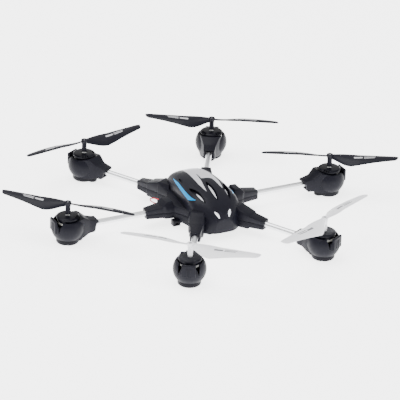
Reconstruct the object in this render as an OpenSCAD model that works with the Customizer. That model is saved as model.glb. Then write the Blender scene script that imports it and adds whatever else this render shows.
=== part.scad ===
// Six-rotor radio-controlled aircraft with a domed canopy, tube arms and geared motor pods.
// Millimetres, +Z up, nose towards -Y. The origin is on the ground under the centre of the rotor circle.

/* [Layout] */
// Radius of the circle through the six rotor axes
rotor_circle_r = 142; // [132:1:150]
// Height of the arm tubes' axes above the ground
arm_z = 14.5; // [14:0.5:15]
// Outer diameter of an arm tube
tube_d = 6; // [5:0.1:6]
// Wall thickness of an arm tube
tube_wall = 0.6; // [0.4:0.1:1]

/* [Pods] */
// Diameter of the round motor pod
pod_d = 32; // [31.5:0.1:32.5]
// Height of the pod's widest line above the ground
pod_z = 16; // [15.8:0.1:16.2]
// Diameter of the foot under a pod
foot_d = 22.5; // [22:0.1:23.5]
// Height of the foot
foot_h = 5.4; // [5:0.1:6]
// Diameter of the pod's cap
cap_d = 22.6; // [22:0.1:23]
// Height of the cap's top above the ground
cap_top = 28.7; // [28.4:0.1:29]
// Distance from the rotor axis to the end of the pod's collar
collar_reach = 28; // [26:0.5:30]

/* [Drive] */
// Diameter of the rotor shaft
shaft_d = 2; // [1.5:0.1:2]
// Diameter of the motor can
motor_d = 8; // [7:0.1:8.2]

/* [Propellers] */
// Diameter swept by a propeller
prop_d = 136.6; // [120:1:140]
// Height of the top of the propeller hub above the ground
hub_top = 42.7; // [42:0.1:44]
// Widest chord of a blade
chord_max = 17; // [12:0.5:19]

/* [Body] */
// Height of the underside of the body above the ground
belly_z = 4; // [3.5:0.1:4.5]
// Height of the seam between the body and the canopy
deck_z = 22; // [21.5:0.1:22.5]
// Height of the canopy's top above the ground
canopy_top = 42.6; // [42:0.1:46]
// Thickness of the moulded shells
shell_t = 1.5; // [1.2:0.1:1.8]
// Distance between the two accessory screw holes under the nose
accessory_pitch = 16; // [12:1:20]

/* [Hidden] */
ARM_NAMES = ["left", "rear_left", "rear_right", "right", "front_right", "front_left"];
// Angle of each blade line from +X at rest, and whether the rotor turns counter-clockwise seen from above
blade_angle = [153.6, 148.8, 11.5, 134, 138.6, 24.9];
turns_ccw = [true, false, true, false, true, false];
PER_ARM = ["arm_tube", "pod", "pod_cap", "foot", "rotor_gear", "motor_pinion", "propeller"];

$fn = 64;
eps = 0.02;
tube_r = tube_d / 2;
pod_r = pod_d / 2;
black = "#26262b";
dark = "#34343b";

// Arms: sockets on the body
rear_reach = 73.5;
front_reach = 76;
side_reach = 60.5;
block_w = 9.7;
core_reach = 33;
hump_z = 26.4;
tube_in = 38;
tube_out = rotor_circle_r - 17;
fit_gap = 0.03;

// Gears and drive levels
tooth_module = 0.3;
gear_teeth = 60;
pinion_teeth = 10;
gear_offset = tooth_module * (gear_teeth + pinion_teeth) / 2;
shaft_r = shaft_d / 2;
gear_z = 20;
gear_h = 2;
pinion_z = 19.4;
pinion_h = 3.2;
motor_bottom = 1.6;
motor_top = 18.4;
shaft_bottom = 6;
bearing_r = 2.5;
bearing_h = 2;
low_bearing_z = 6;
cap_bottom = 25.2;
top_bearing_z = cap_top - 2.6;

function is_diag(i) = i % 3 != 0;
function reach(i) = !is_diag(i) ? side_reach : i < 3 ? rear_reach : front_reach;
module on_arm(i) { rotate(60 * i) children(); }
module at_pod(i) { on_arm(i) translate([rotor_circle_r, 0, 0]) children(); }

// A prism across Y, drawn by its side profile of [x, z] points
module side_prism(pts, half_w) {
    rotate([90, 0, 0]) translate([0, 0, -half_w]) linear_extrude(2 * half_w) polygon(pts);
}
// A plan outline, given by its +Y half as [x, y] points, mirrored about X
function both_sides(pts) = concat(pts, [for (k = [len(pts) - 1:-1:0]) [pts[k][0], -pts[k][1]]]);

// ---- arm tubes
module arm_tube(i) {
    color("#c9cacd") on_arm(i) translate([tube_in, 0, arm_z]) rotate([0, 90, 0]) difference() {
        cylinder(h = tube_out - tube_in, r = tube_r);
        translate([0, 0, -1]) cylinder(h = tube_out - tube_in + 2, r = tube_r - tube_wall);
    }
}

// ---- pods
screw_spots = [[4.5, 8], [4.5, -8]];
pod_floor = 7.2;
pod_rim = 24.6;
v_slot = [[5.7, pod_rim + 2], [9.6, pod_rim + 2], [9.2, 15.5]];

module neck_block() {
    intersection() {
        side_prism([[-collar_reach + 1, 9.2], [-collar_reach + 2.5, 7.8], [-19, 7.4], [-13, foot_h],
                    [0, foot_h], [0, 24],
                    [-12.6, 26.4], [-14.6, 25.6], [-20, 21.4], [-collar_reach + 1, 19.6],
                    [-collar_reach - 2, 19.3], [-collar_reach - 2.4, 17], [-collar_reach, 15.8]], 16);
        linear_extrude(40) polygon(both_sides([[-collar_reach - 3, 5.6], [-21, 6.2], [-13, 9.4], [-4, 12]]));
    }
}
module pod(i) {
    wall = 1.4;
    color(dark) at_pod(i) difference() {
        union() {
            intersection() {
                translate([0, 0, pod_z]) sphere(r = pod_r);
                translate([0, 0, foot_h]) cylinder(h = pod_rim - foot_h, r = pod_r + 1);
            }
            neck_block();
            intersection() {
                side_prism([[13, 13], [15.9, 14], [15.9, 25.4], [15, 26], [13.6, 26]], 8);
                translate([0, 0, 10]) linear_extrude(20)
                    polygon([[10, -6.6], [20, -6.6], [20, 6.6], [10, 6.6]]);
            }
            for (s = [-1, 1]) translate([15.2, s * 1.5 - 0.5, 15]) cube([1.1, 1, 8]);
        }
        difference() {
            intersection() {
                translate([0, 0, pod_z]) sphere(r = pod_r - wall);
                translate([0, 0, pod_floor]) cylinder(h = 40, r = pod_r);
            }
            for (p = screw_spots) translate([p[0], p[1], 0]) cylinder(h = 12, r = 1.9);
        }
        translate([0, 0, pod_z]) cylinder(h = 20, r = cap_d / 2 - 0.85);
        translate([0, 0, cap_bottom + 0.3]) cylinder(h = 6, r = cap_d / 2 + 0.1);
        translate([8, -9.2, 20.5]) cube([5.4, 18.4, 10]);
        translate([-gear_offset, 0, foot_h - 1])
            cylinder(h = motor_top - foot_h + 4.6, r = motor_d / 2 + 0.25);
        translate([0, 0, foot_h - 1]) cylinder(h = 3, r = bearing_r);
        for (p = screw_spots) translate([p[0], p[1], foot_h - 1]) cylinder(h = 7, r = 0.7);
        for (s = [-1, 1]) rotate([90, 0, 90]) translate([0, 0, 9])
            linear_extrude(4.8) polygon([for (q = v_slot) [s * q[0], q[1]]]);
        for (s = [-1, 1]) rotate([90, 0, 90]) translate([0, 0, 9])
            linear_extrude(9) polygon([for (q = v_slot) [s * (q[0] + 0.6), q[1]]]);
        translate([-collar_reach - 4, -4.1, arm_z - 4.6]) cube([7.6, 8.2, 8.6]);
        translate([-collar_reach - 1, 0, arm_z]) rotate([0, 90, 0])
            cylinder(h = collar_reach - 16, r = tube_r + fit_gap);
    }
}

// Cap: a grooved ring with recessed windows towards the body and a boss round the top bearing
module pod_cap(i) {
    color(black) at_pod(i) difference() {
        rotate_extrude() polygon([[bearing_r, cap_bottom - 1], [bearing_r + 1.6, cap_bottom - 1],
            [bearing_r + 1.6, cap_bottom + 1.4], [cap_d / 2 - 2.2, cap_bottom + 1.2],
            [cap_d / 2 - 2.2, cap_bottom - 2], [cap_d / 2 - 0.9, cap_bottom - 2],
            [cap_d / 2 - 0.9, cap_bottom + 0.4], [cap_d / 2, cap_bottom + 0.7], [cap_d / 2, cap_top - 1.4],
            [cap_d / 2 - 1.4, cap_top - 0.4], [5.5, cap_top], [bearing_r, cap_top]]);
        for (s = [-1, 1], k = [0, 1, 2]) rotate(180 + s * (34 + 13 * k))
            translate([cap_d / 2 - 2.9, -0.8, cap_bottom + 1.7]) cube([4, 1.6, 3]);
    }
}

// Foot: a round cup with a small lobe under the motor
module foot_cup(r, h, round_r) {
    rotate_extrude() polygon(concat([[0, 0]], [for (a = [-90:15:0]) [r - round_r + round_r * cos(a),
        round_r + round_r * sin(a)]], [[r, h], [0, h]]));
}
module foot(i) {
    color(black) at_pod(i) difference() {
        union() {
            foot_cup(foot_d / 2, foot_h, 1.8);
            translate([-gear_offset, 0, 0]) foot_cup(4.9, foot_h, 1.4);
        }
        difference() {
            translate([0, 0, 1.4]) cylinder(h = foot_h, r = foot_d / 2 - 1.4);
            for (p = screw_spots) translate([p[0], p[1], 0]) cylinder(h = foot_h, r = 2.2);
        }
        translate([-gear_offset, 0, motor_bottom]) cylinder(h = foot_h, r = motor_d / 2 + 0.1);
        for (p = screw_spots) translate([p[0], p[1], -1]) cylinder(h = foot_h + 2, r = 0.9);
        for (p = screw_spots) translate([p[0], p[1], -1]) cylinder(h = 2.6, r = 1.7);
    }
}

// ---- drive: motors, pinions, rotor gears and bearings
function gear_ring(n) =
    let (pitch = tooth_module * n / 2, tip = pitch + 0.85 * tooth_module, root = pitch - 1.2 * tooth_module,
         half = 0.70 * tooth_module, tip_half = half - 0.31 * tooth_module,
         root_half = half + 0.42 * tooth_module)
    [for (k = [0:n - 1], q = [[root, -root_half], [tip, -tip_half], [tip, tip_half], [root, root_half]])
        let (a = 360 * k / n + asin(q[1] / q[0])) q[0] * [cos(a), sin(a)]];

module motors() {
    color("#b9bcc2") for (i = [0:5]) at_pod(i) translate([-gear_offset, 0, 0]) {
        translate([0, 0, motor_bottom]) cylinder(h = motor_top - motor_bottom - 0.8, r = motor_d / 2);
        translate([0, 0, motor_top - 0.9]) cylinder(h = 0.9, r = 1.6);
        translate([0, 0, motor_top - 1]) cylinder(h = pinion_z + pinion_h - motor_top + 0.8, r = 0.5);
    }
}
module motor_pinion(i) {
    color("#c9a45a") at_pod(i) translate([-gear_offset, 0, pinion_z]) difference() {
        rotate(180 / pinion_teeth) linear_extrude(pinion_h) polygon(gear_ring(pinion_teeth));
        translate([0, 0, -1]) cylinder(h = pinion_h + 2, r = 0.52);
    }
}
module rotor_gear(i) {
    color("#e6e6e2") at_pod(i) difference() {
        union() {
            translate([0, 0, gear_z]) linear_extrude(gear_h) polygon(gear_ring(gear_teeth));
            translate([0, 0, gear_z - 0.8]) cylinder(h = gear_h + 1.8, r = 2.6);
        }
        for (k = [0:4]) rotate(72 * k) translate([5.6, 0, gear_z - 1]) cylinder(h = 4, r = 1.9);
        translate([0, 0, gear_z + 1.2]) difference() {
            cylinder(h = 2, r = 7.8);
            translate([0, 0, -1]) cylinder(h = 4, r = 3.4);
        }
    }
    color("#b4b6ba") at_pod(i) translate([0, 0, shaft_bottom])
        cylinder(h = hub_top - 1.7 - shaft_bottom, r = shaft_r);
}
module shaft_bearings() {
    color("#a9abb0") for (i = [0:5], z = [low_bearing_z - 0.6, top_bearing_z]) at_pod(i) translate([0, 0, z])
        difference() {
            cylinder(h = bearing_h, r = bearing_r);
            translate([0, 0, -1]) cylinder(h = bearing_h + 2, r = shaft_r + fit_gap);
        }
}
module pod_screws() {
    color("#8d9096") for (i = [0:5], p = screw_spots) at_pod(i) translate([p[0], p[1], 0]) {
        translate([0, 0, 0.5]) cylinder(h = 1.1, r = 1.5);
        translate([0, 0, 1.5]) cylinder(h = 7.5, r = 0.65);
    }
}

// ---- propellers
blade_stations = 16;
blade_root = 2;
prop_r = prop_d / 2;
// Chord and pitch along the blade: a lobe near the hub and an even taper to a rounded tip
function tip_round(t) = t < 0.93 ? 1 : sqrt(max(0.06, 1 - pow((t - 0.93) / 0.0705, 2)));
function chord(t) = chord_max * tip_round(t) * (t < 0.3
    ? 0.36 + 0.64 * pow(sin(90 * t / 0.3), 1.3)
    : 1 - 0.58 * (t - 0.3) / 0.7);
function pitch(t) = 8 + 24 * pow(1 - t, 2);
function lead(t) = 2.6 + 1.2 * sin(180 * min(1, t / 0.4)) - 0.9 * t;
// One ring of blade points at t: a thin cambered section, leading edge at +y, trailing edge at -y
function blade_ring(t) =
    let (c = chord(t), p = pitch(t), r = blade_root + t * (prop_r - blade_root), th = 0.55 + 0.5 * (1 - t),
         y0 = lead(t) * tip_round(t))
    [for (q = [[0, 0], [0.15, 0.9], [0.4, 1.25], [0.7, 0.9], [1, 0.15], [1, -0.15], [0.7, -0.05], [0.4, 0.05],
               [0.15, -0.4]])
        let (u = y0 - q[0] * c, w = q[1] * th + 0.05 * c * (q[0] * (1 - q[0])) * 4)
        [r, u * cos(p) - w * sin(p), (u - lead(t)) * sin(p) + w * cos(p)]];
module blade() {
    n = 9;
    pts = [for (k = [0:blade_stations]) each blade_ring(0.5 - 0.5 * cos(180 * k / blade_stations))];
    side = [for (k = [0:blade_stations - 1], j = [0:n - 1])
        let (a = k * n + j, b = k * n + (j + 1) % n) each [[a, b + n, b], [a, a + n, b + n]]];
    first = [[for (j = [0:n - 1]) j]];
    last = [[for (j = [n - 1:-1:0]) blade_stations * n + j]];
    polyhedron(points = pts, faces = concat(first, side, last), convexity = 4);
}
module propeller(i) {
    blade_top = hub_top - 1.2;
    color(i == 4 || i == 5 ? "#f2f2f2" : black) at_pod(i) rotate(blade_angle[i] - 60 * i) {
        for (s = [0, 180]) rotate(s) mirror([0, turns_ccw[i] ? 0 : 1, 0])
            translate([0, 0, blade_top]) blade();
        difference() {
            union() {
                translate([0, 0, cap_top + 0.9]) cylinder(h = hub_top - cap_top - 0.9, r = 2.5);
                translate([0, 0, hub_top - 5]) cylinder(h = 5, r1 = 2.5, r2 = 3.4);
            }
            translate([0, 0, cap_top]) cylinder(h = hub_top - cap_top - 1.7, r = shaft_r);
            translate([0, 0, hub_top - 1.9]) cylinder(h = 3, r = 0.9);
        }
    }
}

// ---- body: a star of six tapering sockets round a twelve-sided core, split at the tubes' axes
function ring_pts(along, lateral) = [for (k = [0:5], s = [-1, 1])
    along * [cos(60 * k), sin(60 * k)] + s * lateral * [-sin(60 * k), cos(60 * k)]];
module socket_block(i) {
    end = reach(i);
    plan = is_diag(i)
        ? [[20, block_w], [core_reach, block_w], [46, 8.6], [46.8, 7.4], [60, 6.8], [60.6, 6.1], [end, 4.8]]
        : [[20, block_w], [core_reach, block_w], [41.5, 8.6], [44, 6.7], [end, 4.8]];
    side = is_diag(i)
        ? [[20, belly_z], [46, belly_z + 0.4], [47.5, 6.4], [60, 7.2], [61, 8.6], [end, 10], [end, 18.9],
           [61, 20.3], [59, 21.6], [49, 24.4], [46, hump_z], [core_reach + 1, hump_z], [core_reach, deck_z],
           [20, deck_z]]
        : [[20, 8.4], [41, 8.8], [44, 9.2], [end, 10], [end, 18.9], [45, 20.6], [43, 22.6],
           [40.5, hump_z - 1], [core_reach + 1, hump_z - 0.6], [core_reach, deck_z], [20, deck_z]];
    edge = 7.6;
    on_arm(i) intersection() {
        linear_extrude(60) polygon(both_sides(plan));
        side_prism(side, 20);
        translate([10, 0, 0]) rotate([90, 0, 90]) linear_extrude(80) polygon([
            [-edge, 0], [edge, 0], [block_w + 0.1, arm_z - 3], [block_w + 0.1, arm_z + 3], [6, hump_z + 0.1],
            [-6, hump_z + 0.1], [-block_w - 0.1, arm_z + 3], [-block_w - 0.1, arm_z - 3]]);
    }
}
module body_star() {
    intersection() {
        translate([0, 0, belly_z]) linear_extrude(deck_z - belly_z) polygon(ring_pts(core_reach, block_w));
        rotate([90, 0, 0]) translate([0, 0, -40]) linear_extrude(80)
            polygon([[-22, 0], [22, 0], [22, belly_z], [36, 9], [36, 30], [-36, 30], [-36, 9],
                     [-22, belly_z]]);
    }
    for (i = [0:5]) socket_block(i);
    nose_block();
}
nose_y = -48;
nose_half = 15;
module nose_block() {
    intersection() {
        side_prism_y([[-20, belly_z], [nose_y + 2, belly_z - 0.4], [nose_y, belly_z + 1.2],
                      [nose_y - 0.6, 12], [nose_y + 1, 17], [-20, 17]], nose_half + 4);
        linear_extrude(30) polygon([[-nose_half - 2, -20], [nose_half + 2, -20], [nose_half + 1, -42],
            [10.5, nose_y - 0.6], [-10.5, nose_y - 0.6], [-nose_half - 1, -42]]);
    }
}
// A prism along X, drawn by its profile of [y, z] points
module side_prism_y(pts, half_w) {
    rotate([90, 0, 90]) translate([0, 0, -half_w]) linear_extrude(2 * half_w) polygon(pts);
}
module tube_bores() {
    for (i = [0:5]) on_arm(i) translate([tube_in - 1, 0, arm_z]) rotate([0, 90, 0])
        cylinder(h = 50, r = tube_r + fit_gap);
}
bay_half = 14.2;
bay_front = -24;
bay_rear = 30.2;
hull_screw_spots = [[19.5, 19], [-19.5, 19], [19.5, -19], [-19.5, -19]];
door_hinge = [bay_front - 0.5, belly_z + 0.3];
switch_at = [19, 1];

module lower_hull() {
    color(black) difference() {
        intersection() {
            body_star();
            translate([-100, -100, 0]) cube([200, 200, arm_z]);
        }
        difference() {
            translate([0, 0, belly_z + shell_t]) linear_extrude(40)
                polygon(ring_pts(core_reach - 2, block_w - 1));
            for (p = hull_screw_spots) translate([p[0], p[1], 0]) cylinder(h = 40, r = 2.6);
            for (i = [0, 3]) on_arm(i) translate([25, -8, 0]) cube([10, 16, 10]);
        }
        translate([-bay_half, bay_front, 0]) cube([2 * bay_half, bay_rear - bay_front, 8]);
        translate([-8.4, bay_front - 1.8, 0]) cube([16.8, 3, 8]);
        translate([-11, door_hinge[0], door_hinge[1]]) rotate([0, 90, 0]) cylinder(h = 22, r = 0.75);
        tube_bores();
        for (p = hull_screw_spots) translate([p[0], p[1], 0]) cylinder(h = 40, r = 1.1);
        for (p = hull_screw_spots) translate([p[0], p[1], 0]) cylinder(h = belly_z + 1.2, r = 2);
        translate([switch_at[0] - 1.3, switch_at[1] - 2.8, 0]) cube([2.6, 6.6, 8]);
        for (s = [-1, 1]) translate([s * accessory_pitch / 2, -37, 0]) cylinder(h = belly_z + 6, r = 0.85);
        for (k = [-3:3]) if (k != 0) translate([k * 3 - 0.6, nose_y - 2, 0]) cube([1.2, 3.6, 11]);
        for (p = [[-28.5, 19.5], [-31, 13.5]]) translate([p[0], p[1], 12]) rotate([0, 90, 150])
            translate([0, 0, -4]) cylinder(h = 8, r = 1.5);
    }
    color(black) for (s = [-1, 1]) translate([s * 9.7, door_hinge[0], door_hinge[1]]) rotate([0, 90, 0])
        translate([0, 0, -1]) difference() {
            cylinder(h = 2, r = 1.5);
            translate([0, 0, -1]) cylinder(h = 4, r = 0.75);
        }
}
module upper_hull() {
    color(dark) difference() {
        intersection() {
            body_star();
            translate([-100, -100, arm_z]) cube([200, 200, 40]);
        }
        difference() {
            linear_extrude(deck_z - shell_t) polygon(ring_pts(core_reach - 2, block_w - 1));
            for (p = hull_screw_spots) translate([p[0], p[1], 0]) cylinder(h = 40, r = 2.6);
        }
        tube_bores();
        translate([0, 14, 0]) cylinder(h = 40, r = 5);
        for (p = hull_screw_spots) translate([p[0], p[1], 0]) cylinder(h = deck_z - shell_t, r = 0.85);
    }
}
module hull_screws() {
    color("#8d9096") for (p = hull_screw_spots) translate([p[0], p[1], 0]) {
        translate([0, 0, belly_z + 0.2]) cylinder(h = 1, r = 1.9);
        translate([0, 0, belly_z + 1.1]) cylinder(h = 13, r = 0.8);
    }
}

// ---- canopy: a helmet-shaped shell, widest ahead of the middle, with a drooping nose
tail_y = 46.5;
tip_y = -53.4;
canopy_rows = 28;
canopy_cols = 22;
dome_power = 2.8;
dome_half = 25.6;
function smooth(t) = t * t * (3 - 2 * t);
// Half width, top and bottom edge of the dome at y
function can_w(y) = y > -22
    ? (dome_half - 0.086 * (y + 22)) * sqrt(max(0.01, 1 - pow(max(0, (y - 34) / 12.5), 2)))
    : dome_half * sqrt(max(0.02, 1 - pow((-22 - y) / 32.7, 2.6)));
function can_h(y) = y > 2
    ? deck_z + 2 + (canopy_top - deck_z - 2) * pow(max(0, 1 - pow((y - 2) / 45, 2.1)), 0.6)
    : 14 + (canopy_top - 14) * sqrt(max(0, 1 - pow((2 - y) / 56.6, 2)));
function can_b(y) = y > -30 ? deck_z : deck_z - 15 * smooth(min(1, (-30 - y) / 16));
// A point of the dome at y, round it by the angle a, moved in by inset
function can_pt(y, a, inset) =
    let (w = max(0.3, can_w(y) - inset), b = can_b(y), h = max(b + 0.2, can_h(y) - inset), n = 2 / dome_power)
    [w * sign(cos(a)) * pow(abs(cos(a)), n), y, b + (h - b) * pow(sin(a), n)];
// The point of the dome above x, y, and the angle round it at a height z
function on_dome(x, y) =
    [x, y, can_b(y) + (can_h(y) - can_b(y)) * pow(1 - pow(abs(x) / can_w(y), dome_power), 1 / dome_power)];
function angle_at(y, z) = asin(pow((z - can_b(y)) / (can_h(y) - can_b(y)), dome_power / 2));

module canopy_solid(inset) {
    n = canopy_cols + 1;
    mid = (tail_y + tip_y) / 2;
    shift = 1 - 2 * inset / (tail_y - tip_y);
    rows = [for (k = [0:canopy_rows])
        let (y = mid + (tail_y - tip_y) / 2 * cos(180 * k / canopy_rows))
        [for (j = [0:canopy_cols]) let (p = can_pt(y, 180 * j / canopy_cols, inset))
            [p[0], mid + (p[1] - mid) * shift, p[2]]]];
    side = [for (k = [0:canopy_rows - 1], j = [0:canopy_cols - 1]) let (a = k * n + j)
        each [[a, a + n, a + 1], [a + 1, a + n, a + n + 1]]];
    under = [for (k = [0:canopy_rows - 1]) let (a = k * n, b = k * n + canopy_cols)
        each [[a, b, a + n], [a + n, b, b + n]]];
    tail = [for (j = [1:canopy_cols - 1]) [0, j, j + 1]];
    nose = let (o = canopy_rows * n) [for (j = [1:canopy_cols - 1]) [o, o + j + 1, o + j]];
    polyhedron(points = [for (r = rows) each r], faces = concat(side, under, tail, nose), convexity = 6);
}
// A thin plate that lies on the dome between y0 and y1 and between the angles low(y) and high(y),
// from its outer skin raised by out to its inner skin sunk by inn
module dome_plate(y0, y1, low, high, out, inn, rows, cols) {
    n = cols + 1;
    skin = (rows + 1) * n;
    grid = function (inset) [for (k = [0:rows]) let (y = y0 + (y1 - y0) * k / rows)
        for (j = [0:cols]) can_pt(y, low(y) + (high(y) - low(y)) * j / cols, inset)];
    faces = [for (k = [0:rows - 1], j = [0:cols - 1]) let (a = k * n + j, o = skin)
        each [[a, a + n, a + 1], [a + 1, a + n, a + n + 1],
              [o + a, o + a + 1, o + a + n], [o + a + 1, o + a + n + 1, o + a + n]]];
    ends = [for (j = [0:cols - 1], k = [0, rows])
        let (a = k * n + j, b = a + 1, p = k == 0 ? [a, b] : [b, a])
        each [[p[0], p[1], p[1] + skin], [p[0], p[1] + skin, p[0] + skin]]];
    edges = [for (k = [0:rows - 1], j = [0, cols])
        let (a = k * n + j, b = a + n, p = j == 0 ? [b, a] : [a, b])
        each [[p[0], p[1], p[1] + skin], [p[0], p[1] + skin, p[0] + skin]]];
    polyhedron(points = concat(grid(-out), grid(inn)), faces = concat(faces, ends, edges), convexity = 6);
}
// A leaf-shaped cutter through the shell from one place on the dome to another
module leaf(x0, y0, x1, y1, r) {
    hull() for (q = [[0, 0.35], [0.35, 1], [0.6, 0.9], [1, 0.3]])
        translate(on_dome(x0 + (x1 - x0) * q[0], y0 + (y1 - y0) * q[0]) - [0, 0, 0.6])
            sphere(r = r * q[1], $fn = 16);
}
// Vents as [x0, y0, x1, y1, radius]: a long and a small one on each side, and two leaves joined in the middle
vents = concat([for (s = [-1, 1]) each [[s * 18.2, -11, s * 13.4, -36, 2.5], [s * 18.6, 13, s * 19.6, 2, 1]]],
    [[0, -9, 0, -28, 1.9], [0, -17, 0, -36, 2.3]]);
lens_x = 6.5;
lens_y = -49;
module lens_form(s, grow) {
    hull() for (q = [-1, 0, 1])
        translate(on_dome(s * (lens_x + q * 1.5), lens_y + q * 2.8) + [0, 0.6, -0.6])
            sphere(r = 1.8 - 0.7 * abs(q) + grow, $fn = 24);
}
module canopy() {
    color(dark) difference() {
        canopy_solid(0);
        translate([0, 0, -0.5]) canopy_solid(shell_t);
        for (v = vents) leaf(v[0], v[1], v[2], v[3], v[4]);
        for (s = [-1, 1]) lens_form(s, 0.1);
        translate([0, 0, -eps]) nose_block();
        for (i = [0:5]) socket_block(i);
    }
}
// A silver plate under the vents
inlay_sunk = 3.1;
module canopy_inlay() {
    color("#c4c6ca")
        dome_plate(-5, -37, function (y) 38, function (y) 142, -inlay_sunk, inlay_sunk + 0.8, 12, 12);
}
// Side stripes: pointed at both ends, with a straight lower edge
module canopy_stripes() {
    low = function (y) angle_at(y, y > -20 ? 31.4 + 2.3 * (y + 20) / 45 : 31.4 + 2.8 * (-20 - y) / 9);
    high = function (y) angle_at(y, y > 10 ? 35.6 - 1.8 * (y - 10) / 15 : 34.5 + 1.1 * (y + 29) / 39);
    color("#1aa7dc") for (s = [0, 1]) mirror([s, 0, 0])
        dome_plate(24.6, -28.6, low, high, 0.25, -0.02, 14, 2);
}
module headlights() { color("#f4f6f8") for (s = [-1, 1]) lens_form(s, 0); }

// ---- inside and under the body
module circuit_board() {
    color("#1f6b3a") translate([-15, -20, deck_z + 2]) cube([30, 36, 1.2]);
    color("#222226") {
        translate([-4, -8, deck_z + 3.2]) cube([8, 8, 1]);
        translate([5, 4, deck_z + 3.2]) cube([5, 4, 0.9]);
    }
    color("#cfd2d6") translate([-9, -16, deck_z + 3.2]) cube([3.2, 8, 1.6]);
    color("#e8e4d8") for (k = [-1, 1], y = [-14, -4, 6]) translate([k * 12.6 - 1.5, y, deck_z + 3.2])
        cube([3, 6, 3.4]);
    color("#555a60") for (k = [-1, 1], y = [-18, 14]) translate([k * 12.5, y, deck_z])
        cylinder(h = 2, r = 1.5);
}
module battery() {
    color("#2c3f7c") translate([-12.5, -20, belly_z + 1.9]) cube([25, 46, 12]);
    color("#e9c640") translate([-12.7, 20, belly_z + 1.8]) cube([25.4, 6.2, 12.2]);
}
module battery_door() {
    color(black) {
        difference() {
            translate([-bay_half + 0.35, bay_front + 0.5, belly_z])
                cube([2 * bay_half - 0.7, bay_rear - bay_front - 1, 1.2]);
            for (s = [-1, 1]) translate([s * 10 - 1.6, bay_front, 0]) cube([3.2, 2, 10]);
            for (k = [0:4]) translate([-5, 17 + 2 * k, belly_z - 1]) cube([10, 0.9, 1.5]);
        }
        translate([-8, door_hinge[0], door_hinge[1]]) rotate([0, 90, 0]) cylinder(h = 16, r = 0.9);
        translate([-10.3, door_hinge[0], door_hinge[1]]) rotate([0, 90, 0]) cylinder(h = 20.6, r = 0.7);
        translate([-7, door_hinge[0], belly_z]) cube([14, 2, 1.1]);
    }
}
lead_r = 0.6;
lead_route = [[-12.3, 12.5, 11.4], [-17, 14, 11.7], [-22, 16.5, 12], [-28, 19.5, 12.2], [-33, 24, 13.4],
              [-38, 27.5, 14.4], [-42, 27, 15], [-43.8, 23.5, 15], [-42.8, 19, 14.4], [-39, 16, 13.4],
              [-35, 14.5, 12.4], [-31, 13.5, 11.9], [-25, 11, 11.2], [-21.2, 9, 11]];
function unit(v) = v / norm(v);
module lead_tube(route, r, sides) {
    n = len(route);
    pts = [for (k = [0:n - 1])
        let (t = unit(route[min(k + 1, n - 1)] - route[max(k - 1, 0)]), u = unit(cross(t, [0, 0, 1])),
             w = cross(u, t))
        for (j = [0:sides - 1]) route[k] + r * (cos(360 * j / sides) * u + sin(360 * j / sides) * w)];
    side = [for (k = [0:n - 2], j = [0:sides - 1]) let (a = k * sides + j, b = k * sides + (j + 1) % sides)
        each [[a, b, b + sides], [a, b + sides, a + sides]]];
    polyhedron(points = pts, faces = concat([[for (j = [sides - 1:-1:0]) j]], side,
        [[for (j = [0:sides - 1]) (n - 1) * sides + j]]), convexity = 6);
}
module battery_lead() { color("#b3262b") lead_tube(lead_route, lead_r, 10); }
module battery_plug() { color("#ecebe6") translate([-21.4, 5.5, 8.6]) cube([6, 5, 5]); }
module switch_body() {
    color("#a9acb2") difference() {
        translate([switch_at[0] - 2.2, switch_at[1] - 4.2, belly_z + shell_t]) cube([4.4, 9.4, 4]);
        translate([switch_at[0] - 1, switch_at[1] - 2.6, belly_z]) cube([2, 6.2, 3.4]);
    }
}
module power_switch() {
    color("#1b1b1e") translate([switch_at[0] - 0.7, switch_at[1] - 2.3, belly_z - 0.8]) cube([1.4, 2.8, 3.8]);
}
module accessory_clip() {
    color(black) difference() {
        union() {
            translate([-36.5, -15.5, 2.6]) cube([7.5, 6.5, 5.8]);
            translate([-31, -14.5, 4.6]) cube([5, 4.5, 3]);
        }
        translate([-34.5, -16.5, 3.9]) cube([3.4, 8.5, 2]);
        body_star();
    }
}

lower_hull();
upper_hull();
canopy();
canopy_inlay();
canopy_stripes();
headlights();
circuit_board();
battery();
battery_door();
battery_lead();
battery_plug();
switch_body();
power_switch();
accessory_clip();
motors();
shaft_bearings();
hull_screws();
pod_screws();
for (i = [0:5]) {
    arm_tube(i);
    pod(i);
    pod_cap(i);
    foot(i);
    rotor_gear(i);
    motor_pinion(i);
    propeller(i);
}
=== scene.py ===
from math import asin, cos, pi, radians, sin, sqrt

import bmesh
import bpy
from mathutils import Matrix, Vector


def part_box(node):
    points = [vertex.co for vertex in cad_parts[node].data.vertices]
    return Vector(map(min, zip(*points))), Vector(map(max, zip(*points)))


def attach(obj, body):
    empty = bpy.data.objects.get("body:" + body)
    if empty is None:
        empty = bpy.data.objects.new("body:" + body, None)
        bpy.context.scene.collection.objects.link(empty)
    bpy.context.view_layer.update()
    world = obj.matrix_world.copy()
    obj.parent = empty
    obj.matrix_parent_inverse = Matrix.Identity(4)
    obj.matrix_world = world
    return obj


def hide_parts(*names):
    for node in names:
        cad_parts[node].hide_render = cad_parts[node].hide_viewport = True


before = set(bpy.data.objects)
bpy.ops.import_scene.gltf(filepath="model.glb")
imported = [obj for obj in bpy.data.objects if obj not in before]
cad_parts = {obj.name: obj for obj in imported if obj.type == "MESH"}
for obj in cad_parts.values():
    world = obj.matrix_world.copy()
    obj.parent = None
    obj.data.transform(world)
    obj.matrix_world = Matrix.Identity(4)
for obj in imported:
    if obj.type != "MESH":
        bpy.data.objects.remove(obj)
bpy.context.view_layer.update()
mm = 0.001
arms = ["left", "rear_left", "rear_right", "right", "front_right", "front_left"]
print("stage: frame loaded")

# camera and studio

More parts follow.
